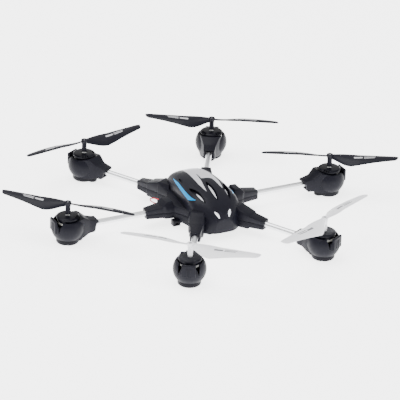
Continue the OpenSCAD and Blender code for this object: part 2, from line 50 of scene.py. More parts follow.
cameraView = {
    "turn": -26.65,          # degrees round the aircraft, 0 looks along +Y
    "rise": 26.083,          # degrees above the floor
    "roll": 1.993,
    "distance": 2.8,         # metres
    "lens": 256.5,           # millimetres on a 36 mm sensor
    "aside": -0.31 * mm,     # how far the camera stands off the line through the origin
    "above": 16.02 * mm,
}


def addCamera(view):
    turn, rise, roll = radians(view["turn"]), radians(view["rise"]), radians(view["roll"])
    back = Vector((sin(turn) * cos(rise), -cos(turn) * cos(rise), sin(rise)))
    level = Vector((cos(turn), sin(turn), 0))
    up = back.cross(level)
    right = level * cos(roll) + up * sin(roll)
    top = back.cross(right)
    data = bpy.data.cameras.new("camera")
    data.lens = view["lens"]
    data.sensor_width = 36
    data.clip_end = 50
    camera = bpy.data.objects.new("camera", data)
    bpy.context.scene.collection.objects.link(camera)
    turned = Matrix((right, top, back)).transposed().to_4x4()
    turned.translation = back * view["distance"] + right * view["aside"] + top * view["above"]
    camera.matrix_world = turned
    bpy.context.scene.camera = camera


studio = {
    "floorSide": 8.0,
    "floorColor": (0.95, 0.95, 0.955, 1),
    "floorGlow": 3.2,        # lifts the paper to a clean white
    "skyStrength": 1.2,
    "keySize": 1.6,
    "keyPower": 40,
    "keyPlace": (-0.5, 0.4, 1.9),
    "fillSize": 1.2,
    "fillPower": 14,
    "fillPlace": (1.5, -1.4, 1.0),
}


def addAreaLight(name, spot, size, power):
    data = bpy.data.lights.new(name, "AREA")
    data.size = size
    data.energy = power
    light = bpy.data.objects.new(name, data)
    bpy.context.scene.collection.objects.link(light)
    light.location = spot
    light.rotation_euler = (-Vector(spot)).to_track_quat("-Z", "Y").to_euler()      # towards the origin


def addStudio(values):
    world = bpy.data.worlds.new("softSky")
    world.use_nodes = True
    world.node_tree.nodes["Background"].inputs["Color"].default_value = (1, 1, 1, 1)
    world.node_tree.nodes["Background"].inputs["Strength"].default_value = values["skyStrength"]
    bpy.context.scene.world = world
    addAreaLight("keyLight", values["keyPlace"], values["keySize"], values["keyPower"])
    addAreaLight("fillLight", values["fillPlace"], values["fillSize"], values["fillPower"])
    bm = bmesh.new()
    bmesh.ops.create_grid(bm, x_segments=1, y_segments=1, size=values["floorSide"] / 2)
    mesh = bpy.data.meshes.new("floor")
    bm.to_mesh(mesh)
    bm.free()
    floor = bpy.data.objects.new("floor", mesh)
    bpy.context.scene.collection.objects.link(floor)
    paper = bpy.data.materials.new("palePaper")
    paper.use_nodes = True
    shader = paper.node_tree.nodes["Principled BSDF"]
    shader.inputs["Base Color"].default_value = values["floorColor"]
    shader.inputs["Roughness"].default_value = 0.75
    shader.inputs["Emission Color"].default_value = (1, 1, 1, 1)
    shader.inputs["Emission Strength"].default_value = values["floorGlow"]
    mesh.materials.append(paper)


addCamera(cameraView)
addStudio(studio)
print("stage: camera and studio ready")

# shader wiring


class Signal:                                    # a socket; arithmetic on it adds Math nodes
    def __init__(self, tree, socket=None):
        self.tree = tree
        self.socket = socket

    def node(self, kind, settings=None, output=0, **inputs):
        made = self.tree.nodes.new(kind)
        for key, value in (settings or {}).items():
            if key == "stops":                   # colour ramp stops: (position, shade) pairs
                ramp = made.color_ramp
                while len(ramp.elements) < len(value):
                    ramp.elements.new(0.5)
                for element, (position, shade) in zip(ramp.elements, value):
                    element.position = position
                    element.color = (shade, shade, shade, 1)
            else:
                setattr(made, key, value)
        for key, value in inputs.items():
            target = made.inputs[int(key[1:]) if key[0] == "_" else key.replace("_", " ")]
            if isinstance(value, Signal):
                self.tree.links.new(value.socket, target)
            else:
                target.default_value = value
        return Signal(self.tree, made.outputs[output])

    def math(self, operation, *values):
        return self.node("ShaderNodeMath", {"operation": operation},
                         **{f"_{k}": v for k, v in enumerate(values)})

    def __add__(self, other):
        return self.math("ADD", self, other)

    def __sub__(self, other):
        return self.math("SUBTRACT", self, other)

    def __rsub__(self, other):
        return self.math("SUBTRACT", other, self)

    def __mul__(self, other):
        return self.math("MULTIPLY", self, other)

    def __abs__(self):
        return self.math("ABSOLUTE", self)

    __radd__ = __add__
    __rmul__ = __mul__

    def most(self, other):
        return self.math("MAXIMUM", self, other)

    def step(self, low, high):                   # 0 below low, 1 above high, smooth between
        return self.node("ShaderNodeMapRange", {"interpolation_type": "SMOOTHSTEP"},
                         Value=self, From_Min=low, From_Max=high)

    def blend(self, first, second):              # a colour mix with this value as its factor
        return self.node("ShaderNodeMix", {"data_type": "RGBA"}, 2, Factor=self, _6=first, _7=second)


def startMaterial(name, **constants):
    material = bpy.data.materials.new(name)
    material.use_nodes = True
    shader = material.node_tree.nodes["Principled BSDF"]
    for key, value in constants.items():
        shader.inputs[key.replace("_", " ")].default_value = value
    return material, Signal(material.node_tree), shader


def feed(shader, key, signal):
    signal.tree.links.new(signal.socket, shader.inputs[key])


def place(wire, scale=(1, 1, 1), turn=0.0):      # object coordinates, stretched and turned about Z
    start = wire.node("ShaderNodeTexCoord", output="Object")
    return wire.node("ShaderNodeMapping", Vector=start, Scale=scale, Rotation=(0, 0, turn))


def noise(wire, vector, scale, detail=3.0):
    return wire.node("ShaderNodeTexNoise", Vector=vector, Scale=scale, Detail=detail)


def grain(wire, shader, height, strength, distance):
    bump = wire.node("ShaderNodeBump", Height=height, Strength=strength, Distance=distance)
    feed(shader, "Normal", bump)


def grey(level, blue=1.8):
    return (level, level, level * blue, 1)


plasticFinish = {
    "grainScale": 2600,      # spark-eroded mould grain, per metre
    "mottleScale": 90,
    "scuffScale": 420,
    "grainDepth": 0.00004,
    "sheen": 0.11,           # specular level, low so that the black stays black
}


def mouldedPlastic(name, level, rough, gloss=0.0, values=plasticFinish):
    material, wire, shader = startMaterial(name, Coat_Weight=gloss, Coat_Roughness=0.25,
                                           Specular_IOR_Level=values["sheen"])
    where = place(wire)
    mottle = noise(wire, where, values["mottleScale"])
    scuff = noise(wire, where, values["scuffScale"], 6.0).step(0.62, 0.78)
    pits = noise(wire, where, values["grainScale"], 2.0)
    tone = (mottle * 0.5 + 0.25).blend(grey(level * 0.8), grey(level * 1.25))
    feed(shader, "Base Color", (scuff * 0.35).blend(tone, grey(level * 1.9)))
    feed(shader, "Roughness", mottle * 0.12 + scuff * 0.08 + (rough - 0.06))
    grain(wire, shader, pits, 0.25, values["grainDepth"])
    return material


def whitePlastic(name):
    material, wire, shader = startMaterial(name, Coat_Weight=0.15, Coat_Roughness=0.3)
    where = place(wire)
    haze = noise(wire, where, 60)
    feed(shader, "Base Color", haze.blend((0.80, 0.80, 0.84, 1), (0.90, 0.90, 0.92, 1)))
    feed(shader, "Roughness", haze * 0.14 + 0.3)
    grain(wire, shader, noise(wire, where, 1800), 0.12, 0.00003)
    return material


def drawnMetal(name, color, rough, turn=0.0, stretch=(14, 900, 900)):
    material, wire, shader = startMaterial(name, Metallic=1.0)
    streak = noise(wire, place(wire, stretch, turn), 1.0, 4.0)
    cloud = noise(wire, place(wire), 120)
    dark = tuple(c * 0.82 for c in color) + (1,)
    feed(shader, "Base Color", streak.blend(dark, tuple(color) + (1,)))
    feed(shader, "Roughness", streak * 0.14 + cloud * 0.08 + (rough - 0.1))
    grain(wire, shader, streak, 0.2, 0.00003)
    return material


def silverPaint(name):
    material, wire, shader = startMaterial(name, Metallic=0.35, Coat_Weight=0.2, Coat_Roughness=0.2)
    where = place(wire)
    flake = noise(wire, where, 5200, 1.0)
    haze = noise(wire, where, 160)
    feed(shader, "Base Color", (flake * 0.6 + haze * 0.4).blend((0.50, 0.50, 0.53, 1), (0.72, 0.72, 0.75, 1)))
    feed(shader, "Roughness", haze * 0.12 + 0.3)
    grain(wire, shader, flake, 0.1, 0.00002)
    return material


def stripeBlue(name):
    material, wire, shader = startMaterial(name, Coat_Weight=0.02, Coat_Roughness=0.2,
                                           Specular_IOR_Level=0.08)
    haze = noise(wire, place(wire), 220)
    feed(shader, "Base Color", haze.blend((0.0, 0.19, 0.44, 1), (0.0, 0.25, 0.54, 1)))
    feed(shader, "Roughness", haze * 0.1 + 0.28)
    grain(wire, shader, noise(wire, place(wire), 2400), 0.08, 0.00002)
    return material


def lensWhite(name):
    # painted glow: the emission makes the white lens shine a little of its own, as if lit, though it lights
    # nothing
    material, wire, shader = startMaterial(name, Coat_Weight=0.8, Coat_Roughness=0.08, Emission_Strength=0.35)
    ribs = wire.node("ShaderNodeTexWave", {"bands_direction": "X"}, "Fac", Vector=place(wire), Scale=260,
                     Distortion=0.4)
    feed(shader, "Base Color", ribs.blend((0.80, 0.83, 0.88, 1), (0.95, 0.96, 0.98, 1)))
    # the ribbed emission colour is part of that painted glow
    feed(shader, "Emission Color", ribs.blend((0.70, 0.75, 0.82, 1), (0.95, 0.97, 1.0, 1)))
    feed(shader, "Roughness", ribs * 0.1 + 0.12)
    grain(wire, shader, ribs, 0.2, 0.0002)
    return material


def softTint(name, first, second, rough, scale=140, coat=0.0, depth=0.00004):
    material, wire, shader = startMaterial(name, Coat_Weight=coat, Coat_Roughness=0.2)
    cloud = noise(wire, place(wire), scale)
    feed(shader, "Base Color", cloud.blend(first + (1,), second + (1,)))
    feed(shader, "Roughness", cloud * 0.15 + (rough - 0.07))
    grain(wire, shader, noise(wire, place(wire), scale * 14), 0.2, depth)
    return material


def boardGreen(name):
    material, wire, shader = startMaterial(name, Coat_Weight=0.3, Coat_Roughness=0.2)
    cells = wire.node("ShaderNodeTexVoronoi", {"feature": "DISTANCE_TO_EDGE"}, "Distance",
                      Vector=place(wire, (1, 1, 0)), Scale=300)
    trace = cells.step(0.04, 0.07)
    green = trace.blend((0.05, 0.34, 0.13, 1), (0.012, 0.17, 0.06, 1))
    height = wire.node("ShaderNodeSeparateXYZ", output="Z", Vector=place(wire))
    chips = height.step(25.25 * mm, 25.3 * mm)
    plugs = height.step(26.85 * mm, 26.9 * mm)
    parts = plugs.blend((0.03, 0.03, 0.035, 1), (0.72, 0.69, 0.60, 1))
    feed(shader, "Base Color", chips.blend(green, parts))
    feed(shader, "Roughness", trace * 0.2 + 0.3)
    grain(wire, shader, trace, 0.3, 0.00005)
    return material


plainGrey = mouldedPlastic("plainGrey", 0.006, 0.40)
hullBlack = mouldedPlastic("hullBlack", 0.005, 0.42)
capBlack = mouldedPlastic("capBlack", 0.004, 0.38)
aluminiumTubes = [drawnMetal(f"drawnAluminium_{arm}", (0.86, 0.87, 0.89), 0.30, -radians(60 * k))
                  for k, arm in enumerate(arms)]
steelGrey = drawnMetal("steelGrey", (0.62, 0.63, 0.65), 0.32, 0.0, (600, 600, 20))
screwSteel = drawnMetal("screwSteel", (0.42, 0.43, 0.45), 0.38, 0.0, (300, 300, 300))
pinionBrass = drawnMetal("pinionBrass", (0.78, 0.58, 0.26), 0.30, 0.0, (900, 900, 30))
gearNylon = softTint("gearNylon", (0.70, 0.70, 0.66), (0.84, 0.84, 0.80), 0.5)
silverTrim = silverPaint("silverTrim")
blueTrim = stripeBlue("blueTrim")
# white lens with a painted glow from its emission
lensPaintedGlow = lensWhite("lensPaintedGlow")
boardMask = boardGreen("boardMask")
batteryWrap = softTint("batteryWrap", (0.03, 0.07, 0.24), (0.05, 0.11, 0.34), 0.3, 200, 0.5, 0.0001)
wireRed = softTint("wireRed", (0.42, 0.012, 0.02), (0.60, 0.03, 0.04), 0.4, 500, 0.1)
plugCream = softTint("plugCream", (0.70, 0.68, 0.60), (0.82, 0.80, 0.73), 0.45)
print("stage: materials ready")

# making pieces


def finishPiece(bm, name, body, materials, replaced=(), sharp=32):
    mesh = bpy.data.meshes.new(name)
    bm.to_mesh(mesh)
    bm.free()
    for material in materials:
        mesh.materials.append(material)
    mesh.polygons.foreach_set("use_smooth", [True] * len(mesh.polygons))
    mesh.set_sharp_from_angle(angle=radians(sharp))
    piece = bpy.data.objects.new(name, mesh)
    bpy.context.scene.collection.objects.link(piece)
    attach(piece, body)
    if replaced:
        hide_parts(*replaced)
    return piece


def softCopy(nodeName, edge, angle=28):          # a CAD shape, welded, with its hard edges rounded
    bm = bmesh.new()
    bm.from_mesh(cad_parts[nodeName].data)
    bmesh.ops.remove_doubles(bm, verts=bm.verts, dist=0.002 * mm)
    bmesh.ops.dissolve_limit(bm, angle_limit=radians(0.6), verts=bm.verts, edges=bm.edges)
    hard = [e for e in bm.edges if len(e.link_faces) == 2 and e.calc_face_angle(0) > radians(angle)]
    bmesh.ops.bevel(bm, geom=hard, offset=edge, segments=2, profile=0.5, affect="EDGES", material=-1)
    return bm


def turnedAbout(bm, degrees):                    # about the upright axis through the origin
    bmesh.ops.rotate(bm, verts=bm.verts, cent=(0, 0, 0), matrix=Matrix.Rotation(radians(degrees), 3, "Z"))


def spinProfile(bm, points, axis, steps):        # a closed ring from a profile of (radius, along) points
    across = Vector((1, 0, 0)) if axis.z else Vector((0, 0, 1))
    made = [bm.verts.new(across * r + axis * along) for r, along in points]
    edges = [bm.edges.new((a, b)) for a, b in zip(made, made[1:])]
    if points[0][0] > 0 and points[-1][0] > 0:
        edges.append(bm.edges.new((made[-1], made[0])))
    bmesh.ops.spin(bm, geom=made + edges, cent=(0, 0, 0), axis=axis, angle=2 * pi, steps=steps,
                   use_merge=True)
    bmesh.ops.remove_doubles(bm, verts=bm.verts, dist=0.001 * mm)
    bmesh.ops.recalc_face_normals(bm, faces=bm.faces)


def middle(nodeName):
    low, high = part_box(nodeName)
    return (low + high) / 2


def dress(nodeNames, *materials):                # a CAD shape that stays gets its material
    for nodeName in nodeNames:
        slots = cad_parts[nodeName].data.materials
        for index in range(len(slots)):
            slots[index] = materials[min(index, len(materials) - 1)]


# canopy

canopyLow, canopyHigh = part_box("canopy")
dome = {
    "tail": canopyHigh.y,
    "tip": canopyLow.y,
    "deck": 22 * mm,         # height of the seam with the body
    "top": canopyHigh.z,
    "crownY": 2 * mm,        # where the dome is highest
    "tailEdge": 24 * mm,     # height that the crown line falls to at the tail
    "tailReach": 45 * mm,    # from the crown to the tail end of that line
    "noseEdge": 14 * mm,
    "noseReach": 56.6 * mm,
    "halfWidth": 25.6 * mm,
    "widestY": -22 * mm,
    "taper": 0.086,          # lost from the half width for each metre towards the tail
    "roundTail": (34 * mm, 12.5 * mm),       # where the tail starts to close, and over what length
    "roundNose": 32.7 * mm,
    "dropY": -30 * mm,       # where the rim starts to fall towards the nose
    "dropLength": 16 * mm,
    "drop": 15 * mm,
    "power": 2.8,            # squareness of the cross-section
    "shell": 1.5 * mm,
    "across": 150,           # faces round the dome
    "along": 160,
    "endShare": 0.05,        # share of the rows that close each end
    "endRound": 0.9 * mm,
}


def domeWidth(y):                                # half the width at y
    if y > dome["widestY"]:
        start, length = dome["roundTail"]
        narrowed = dome["halfWidth"] - dome["taper"] * (y - dome["widestY"])
        return narrowed * sqrt(max(0.01, 1 - max(0, (y - start) / length) ** 2))
    return dome["halfWidth"] * sqrt(max(0.02, 1 - ((dome["widestY"] - y) / dome["roundNose"]) ** 2.6))


def domeHeight(y):
    if y > dome["crownY"]:
        low, away = dome["tailEdge"], (y - dome["crownY"]) / dome["tailReach"]
        return low + (dome["top"] - low) * max(0, 1 - away ** 2.1) ** 0.6
    low, away = dome["noseEdge"], (dome["crownY"] - y) / dome["noseReach"]
    return low + (dome["top"] - low) * sqrt(max(0, 1 - away ** 2))


def domeRim(y):
    if y > dome["dropY"]:
        return dome["deck"]
    t = min(1, (dome["dropY"] - y) / dome["dropLength"])
    return dome["deck"] - dome["drop"] * t * t * (3 - 2 * t)


def domePoint(y, degrees, inset=0.0):
    w, b = max(0.3 * mm, domeWidth(y) - inset), domeRim(y)
    h = max(b + 0.2 * mm, domeHeight(y) - inset)
    c, s, n = cos(radians(degrees)), sin(radians(degrees)), 2 / dome["power"]
    return Vector((w * abs(c) ** n * (1 if c > 0 else -1), y, b + (h - b) * max(0, s) ** n))


def domeAngle(y, z):                             # the angle round the dome at a height z, on the +X side
    b = domeRim(y)
    return asin(min(1, ((z - b) / (domeHeight(y) - b))) ** (dome["power"] / 2)) * 180 / pi


def onDome(x, y):                                # the point of the dome above x and y
    b = domeRim(y)
    share = min(0.999, abs(x) / domeWidth(y)) ** dome["power"]
    return Vector((x, y, b + (domeHeight(y) - b) * (1 - share) ** (1 / dome["power"])))


def domeSheet(y0, y1, low, high, along, across, inset):   # a grid bent onto the dome
    bm = bmesh.new()
    bmesh.ops.create_grid(bm, x_segments=across, y_segments=along, size=0.5)
    for v in bm.verts:
        y = y0 + (y1 - y0) * (v.co.y + 0.5)
        v.co = domePoint(y, low(y) + (high(y) - low(y)) * (v.co.x + 0.5), inset)
    bmesh.ops.recalc_face_normals(bm, faces=bm.faces)
    return bm


def domeNormal(x, y, d=0.05 * mm):
    spot = onDome(x, y)
    return (onDome(x + d, y) - spot).cross(onDome(x, y + d) - spot).normalized()


def leafForm(bm, x0, y0, x1, y1, wide, deep, sunk):   # a long leaf that lies on the dome
    bmesh.ops.create_uvsphere(bm, u_segments=28, v_segments=24, radius=1.0)
    for v in bm.verts:
        t = v.co.z * 0.5 + 0.5
        x, y = x0 + (x1 - x0) * t, y0 + (y1 - y0) * t
        normal = domeNormal(x, y)
        aside = normal.cross(Vector((x1 - x0, y1 - y0, 0))).normalized()
        girth = wide * (0.7 + 0.4 * sin(pi * t))
        v.co = onDome(x, y) + aside * v.co.x * girth + normal * (v.co.y * deep - sunk)
    bmesh.ops.recalc_face_normals(bm, faces=bm.faces)
    if bm.calc_volume(signed=True) < 0:          # a short leaf can come out turned inwards
        bmesh.ops.reverse_faces(bm, faces=bm.faces)


def leafCutter(name, *leaf):
    bm = bmesh.new()
    leafForm(bm, *leaf)
    mesh = bpy.data.meshes.new(name)
    bm.to_mesh(mesh)
    bm.free()
    cutter = bpy.data.objects.new(name, mesh)
    bpy.context.scene.collection.objects.link(cutter)
    return cutter


def applyModifiers(piece):
    bpy.context.view_layer.update()
    evaluated = piece.evaluated_get(bpy.context.evaluated_depsgraph_get())
    piece.modifiers.clear()
    old = piece.data
    piece.data = bpy.data.meshes.new_from_object(evaluated)
    bpy.data.meshes.remove(old)


vents = {                    # x and y of both ends, half width, half depth, how far the cutter is sunk
    "side": (18.4 * mm, -10 * mm, 13.2 * mm, -37 * mm, 2.5 * mm, 3 * mm, 0.6 * mm),
    "rear": (17.6 * mm, 15 * mm, 18.6 * mm, 4 * mm, 1.1 * mm, 3 * mm, 0.6 * mm),
    "centre": (0.0, -9 * mm, 0.0, -37 * mm, 2.5 * mm, 3 * mm, 0.6 * mm),
}
leaves = {                   # the same for the leaf in each vent; the rear one is black and closes its slot
    "side": (16.2 * mm, -20 * mm, 13.4 * mm, -33.5 * mm, 1.0 * mm, 0.6 * mm, 2.6 * mm),
    "centre": (0.0, -14 * mm, 0.0, -35 * mm, 1.1 * mm, 0.7 * mm, 1.3 * mm),
    "rear": (17.5 * mm, 16.2 * mm, 18.7 * mm, 2.8 * mm, 2.0 * mm, 0.5 * mm, 1.75 * mm),
}


def buildCanopy():
    bm = bmesh.new()
    bmesh.ops.create_grid(bm, x_segments=dome["across"], y_segments=dome["along"], size=0.5)
    end, soft = dome["endShare"], dome["endRound"]
    first, span = dome["tip"] + soft, dome["tail"] - dome["tip"] - 2 * soft
    for v in bm.verts:
        row, turn = v.co.y + 0.5, 180 * (v.co.x + 0.5)
        inside = min(1, max(0, (row - end) / (1 - 2 * end)))
        y = first + span * (0.5 - 0.5 * cos(pi * inside))
        spread = min(1, row / end, (1 - row) / end)          # under 1 on the rows that close an end
        spot, heart = domePoint(y, turn), Vector((0, y, domeRim(y)))
        v.co = heart + (spot - heart) * sin(pi / 2 * spread)
        v.co.y += soft * cos(pi / 2 * spread) * (1 if row > 0.5 else -1)
    bmesh.ops.remove_doubles(bm, verts=bm.verts, dist=0.01 * mm)
    bmesh.ops.recalc_face_normals(bm, faces=bm.faces)
    if max(bm.faces, key=lambda f: f.calc_center_median().z).normal.z < 0:
        bmesh.ops.reverse_faces(bm, faces=bm.faces)
    piece = finishPiece(bm, "canopyShell", "airframe", [canopyPaint], ["canopy"], 40)
    wall = piece.modifiers.new("wall", "SOLIDIFY")
    wall.thickness = dome["shell"]
    wall.offset = -1
    cutters = []
    for key, (x0, y0, x1, y1, *size) in vents.items():
        for side in ((1,) if x0 == 0 else (1, -1)):
            cutters.append(leafCutter(f"cut_{key}_{side}", x0 * side, y0, x1 * side, y1, *size))
    for cutter in cutters:
        cut = piece.modifiers.new("vent", "BOOLEAN")
        cut.object = cutter
        cut.solver = "EXACT"
    applyModifiers(piece)
    for cutter in cutters:
        bpy.data.objects.remove(cutter)
    piece.data.set_sharp_from_angle(angle=radians(40))


silverShape = {              # (distance from the middle, y) along the pattern's edges, in millimetres
    "outer": [(8.6, 34), (9.7, 22), (10.8, 7.5), (11.2, -3), (11.2, -11), (10.8, -14), (10.0, -20),
              (8.7, -24)],
    "rightInner": [(2.5, 34), (2.5, 9.6), (4.4, 8.8), (5.0, 2.5), (6.0, -6), (7.5, -14.5), (8.7, -24)],
    "leftInner": [(3.5, 34), (3.5, 9.6), (4.4, 8.8), (4.2, -1.6), (11.5, -2.8), (14.3, -4.8), (15.5, -12),
                  (16.0, -18), (17.4, -24)],
    "shift": 8.0,            # taken from leftInner, so that it may cross the middle
    "middle": 2.5,           # the pattern sits a little to the left
    "end": -24.5,            # no silver nearer to the nose
    "floor": 30.0,           # nor lower down
    "softEdge": 0.12,
}


def curveThrough(wire, y, points):               # a smooth x for each y, through (x, y) points
    knots = sorted(points, key=lambda p: p[1])
    low, high = knots[0][1], knots[-1][1]
    reach = max(x for x, q in knots)
    ramp = [((q - low) / (high - low), x / reach) for x, q in knots]
    share = wire.node("ShaderNodeMapRange", {}, Value=y, From_Min=low * mm, From_Max=high * mm)
    shape = wire.node("ShaderNodeValToRGB", {"stops": ramp}, Fac=share)
    return wire.node("ShaderNodeSeparateColor", {}, Color=shape) * (reach * mm)


def makeCanopyPaint():
    material, wire, shader = startMaterial("canopyPaint", Coat_Weight=0.03, Coat_Roughness=0.22,
                                           Specular_IOR_Level=0.11)
    where = place(wire)
    x = wire.node("ShaderNodeSeparateXYZ", output="X", Vector=where) - silverShape["middle"] * mm
    y = wire.node("ShaderNodeSeparateXYZ", output="Y", Vector=where)
    z = wire.node("ShaderNodeSeparateXYZ", output="Z", Vector=where)
    soft = silverShape["softEdge"] * mm
    outer = curveThrough(wire, y, silverShape["outer"]) - abs(x)
    right = (x + curveThrough(wire, y, silverShape["rightInner"])) * -1.0
    left = x + silverShape["shift"] * mm - curveThrough(wire, y, silverShape["leftInner"])
    band = outer.step(-soft, soft) * right.most(left).step(-soft, soft)
    for along, key in ((y, "end"), (z, "floor")):
        band = band * (along - silverShape[key] * mm).step(-soft, soft)
    flake = noise(wire, where, 5200, 1.0)
    mottle = noise(wire, where, 90)
    scuff = noise(wire, where, 420, 6.0).step(0.62, 0.78)
    dark = (mottle * 0.5 + 0.25).blend(grey(0.004), grey(0.007))
    dark = (scuff * 0.3).blend(dark, grey(0.016))
    silver = flake.blend((0.48, 0.48, 0.51, 1), (0.70, 0.70, 0.73, 1))
    feed(shader, "Base Color", band.blend(dark, silver))
    feed(shader, "Metallic", band * 0.35)
    feed(shader, "Roughness", mottle * 0.12 + 0.32)
    grain(wire, shader, noise(wire, where, 2600, 2.0) + band * 3.0, 0.25, 0.00004)
    return material


canopyPaint = makeCanopyPaint()
buildCanopy()


stripe = {
    "from": 24.6 * mm,
    "to": -28.6 * mm,
    "thick": 0.2 * mm,
    "proud": 0.05 * mm,
    "along": 60,
    "across": 8,
    "top": [(25, 33.8), (10, 35.6), (-29, 34.5)],            # (y, height) of the upper edge, in millimetres
    "foot": [(25, 33.7), (-20, 31.4), (-29, 34.2)],
}


def stripeEdge(y, corners):                      # straight lines from corner to corner
    (y0, z0), (y1, z1), (y2, z2) = corners
    if y > y1 * mm:
        return (z1 + (z0 - z1) * (y / mm - y1) / (y0 - y1)) * mm
    return (z1 + (z2 - z1) * (y1 - y / mm) / (y1 - y2)) * mm


def buildStripes():
    bm = domeSheet(stripe["from"], stripe["to"], lambda y: domeAngle(y, stripeEdge(y, stripe["foot"])),
                   lambda y: domeAngle(y, stripeEdge(y, stripe["top"])), stripe["along"], stripe["across"],
                   -stripe["proud"])
    bmesh.ops.solidify(bm, geom=bm.faces[:], thickness=stripe["thick"])
    bmesh.ops.mirror(bm, geom=bm.verts[:] + bm.edges[:] + bm.faces[:], axis="X", merge_dist=0.0)
    bmesh.ops.recalc_face_normals(bm, faces=bm.faces)
    finishPiece(bm, "sideStripes", "airframe", [blueTrim], ["canopy_stripes"])


buildStripes()


inlay = {
    "from": -5 * mm,
    "to": -37 * mm,
    "edge": 38,              # degrees round the dome where the plate ends
    "sunk": 3.1 * mm,
    "thick": 0.8 * mm,
    "faces": 60,
}


def buildInlay():
    bm = domeSheet(inlay["from"], inlay["to"], lambda y: inlay["edge"], lambda y: 180 - inlay["edge"],
                   inlay["faces"], inlay["faces"], inlay["sunk"])
    bmesh.ops.solidify(bm, geom=bm.faces[:], thickness=inlay["thick"])
    finishPiece(bm, "ventInlay", "airframe", [plainGrey], ["canopy_inlay"])
    for key, (x0, y0, x1, y1, *size) in leaves.items():
        for side in ((1,) if x0 == 0 else (1, -1)):
            bm = bmesh.new()
            leafForm(bm, x0 * side, y0, x1 * side, y1, *size)
            slotName, material = ("hull_black", capBlack) if key == "rear" else ("silver_trim", silverTrim)
            word = "left" if side > 0 else "right"
            finishPiece(bm, f"ventLeaf_{key}_{word}", "airframe", [material])


buildInlay()

lens = {
    "x": 6.5 * mm,
    "y": -49.2 * mm,
    "leanX": 2.0 * mm,       # from the middle to an end, along x
    "leanY": 3.4 * mm,
    "wide": 1.85 * mm,
    "deep": 1.2 * mm,
    "sunk": 0.55 * mm,
    "bezel": 1.25,           # the bezel's size beside the lens
    "bezelDepth": 0.75,
}


def buildLenses():
    for side, word in ((1, "left"), (-1, "right")):
        for name, grow, slotName, material in (("lens_" + word, 1.0, "lens_white", lensPaintedGlow),
                                               ("lensBezel_" + word, lens["bezel"], "hull_black", capBlack)):
            bm = bmesh.new()
            bmesh.ops.create_uvsphere(bm, u_segments=36, v_segments=24, radius=1.0)
            for v in bm.verts:
                q = v.co.z * grow ** 0.5
                x, y = side * (lens["x"] + lens["leanX"] * q), lens["y"] + lens["leanY"] * q
                normal, aside = domeNormal(x, y), Vector((1, 0, 0))
                ring = sqrt(max(1e-9, 1 - v.co.z ** 2))
                taper = max(0, 1 - abs(v.co.z) ** 1.7) ** 0.8 / ring
                away, bulge = v.co.x, v.co.y * taper * lens["deep"] * (lens["bezelDepth"] if grow > 1 else 1)
                v.co = onDome(x, y) + normal * (bulge - lens["sunk"])
                v.co += aside * away * taper * lens["wide"] * grow
            bmesh.ops.remove_doubles(bm, verts=bm.verts, dist=0.005 * mm)
            bmesh.ops.recalc_face_normals(bm, faces=bm.faces)
            finishPiece(bm, name, "airframe", [material],
                        ["headlights"] if name == "lens_left" else ())


buildLenses()
print("stage: canopy ready")

# body halves

rounding = {                 # how much of each hard edge is taken off
    "lower_hull": 0.35 * mm,
    "upper_hull": 0.5 * mm,
    "small": 0.2 * mm,
    "pod": 0.25 * mm,
    "pod_cap": 0.15 * mm,
    "foot": 0.2 * mm,
}

for nodeName, slotName in (("lower_hull", "hull_black"), ("upper_hull", "shell_grey")):
    finishPiece(softCopy(nodeName, rounding[nodeName]), nodeName + "_shell", "airframe",
                [hullBlack], [nodeName])
for nodeName, body in (("accessory_clip", "airframe"), ("battery_door", "battery_door"),
                       ("power_switch", "power_switch")):
    finishPiece(softCopy(nodeName, rounding["small"]), nodeName + "_body", body, [capBlack],
                [nodeName])
print("stage: body ready")

# arms, pods, caps and feet

tube = {
    "outer": 3.0 * mm,
    "wall": 0.6 * mm,
    "half": 43.5 * mm,       # half of its length
    "chamfer": 0.12 * mm,
    "steps": 56,
}


def buildTube(k, arm):
    spot = middle(f"arm_tube_{arm}")
    away = sqrt(spot.x ** 2 + spot.y ** 2)
    half, r, c = tube["half"], tube["outer"], tube["chamfer"]
    i = r - tube["wall"]
    bm = bmesh.new()
    spinProfile(bm, [(i, -half), (r - c, -half), (r, c - half), (r, half - c), (r - c, half), (i, half)],
                Vector((1, 0, 0)), tube["steps"])
    bmesh.ops.translate(bm, verts=bm.verts, vec=(away, 0, spot.z))
    turnedAbout(bm, 60 * k)
    finishPiece(bm, f"armTube_{arm}", "airframe", [aluminiumTubes[k]], [f"arm_tube_{arm}"])


for k, arm in enumerate(arms):
    buildTube(k, arm)
    for part, name, slotName, material in (("pod", f"motorPod_{arm}", "shell_grey", hullBlack),
                                           ("pod_cap", f"podCap_{arm}", "hull_black", capBlack),
                                           ("foot", f"foot_{arm}_cup", "hull_black", capBlack)):
        nodeName = f"{part}_{arm}"
        finishPiece(softCopy(nodeName, rounding[part]), name, "airframe", [material], [nodeName])
print("stage: arms and pods ready")

# propellers

bladeTurn = {"left": 153.6, "rear_left": 148.8, "rear_right": 11.5, "right": 134, "front_right": 138.6,
             "front_left": 24.9}
turnsClockwise = ["rear_left", "right", "front_left"]
blade = {
    "reach": 68.3 * mm,      # hub centre to tip
    "root": 2.0 * mm,
    "chord": 17.0 * mm,
    "along": 70,
    "around": 36,
    "top": 41.5 * mm,        # height of the blade line
    "tipFrom": 0.93,         # share of the length where the tip starts to round
    "widest": 0.3,
    "twist": (8, 24),        # degrees at the tip, and how many more at the hub
    "camber": 0.2,
}
bars = [(0.33, 0.46, 0.30, 0.44), (0.48, 0.66, 0.27, 0.34), (0.48, 0.64, 0.41, 0.48)]   # along, then across


def tipRound(t):
    return 1 if t < blade["tipFrom"] else sqrt(max(0.02, 1 - ((t - blade["tipFrom"]) / 0.0705) ** 2))


def chordAt(t):
    widest = blade["widest"]
    if t < widest:
        return blade["chord"] * (0.36 + 0.64 * sin(pi / 2 * t / widest) ** 1.3)
    return blade["chord"] * tipRound(t) * (1 - 0.58 * (t - widest) / (1 - widest))


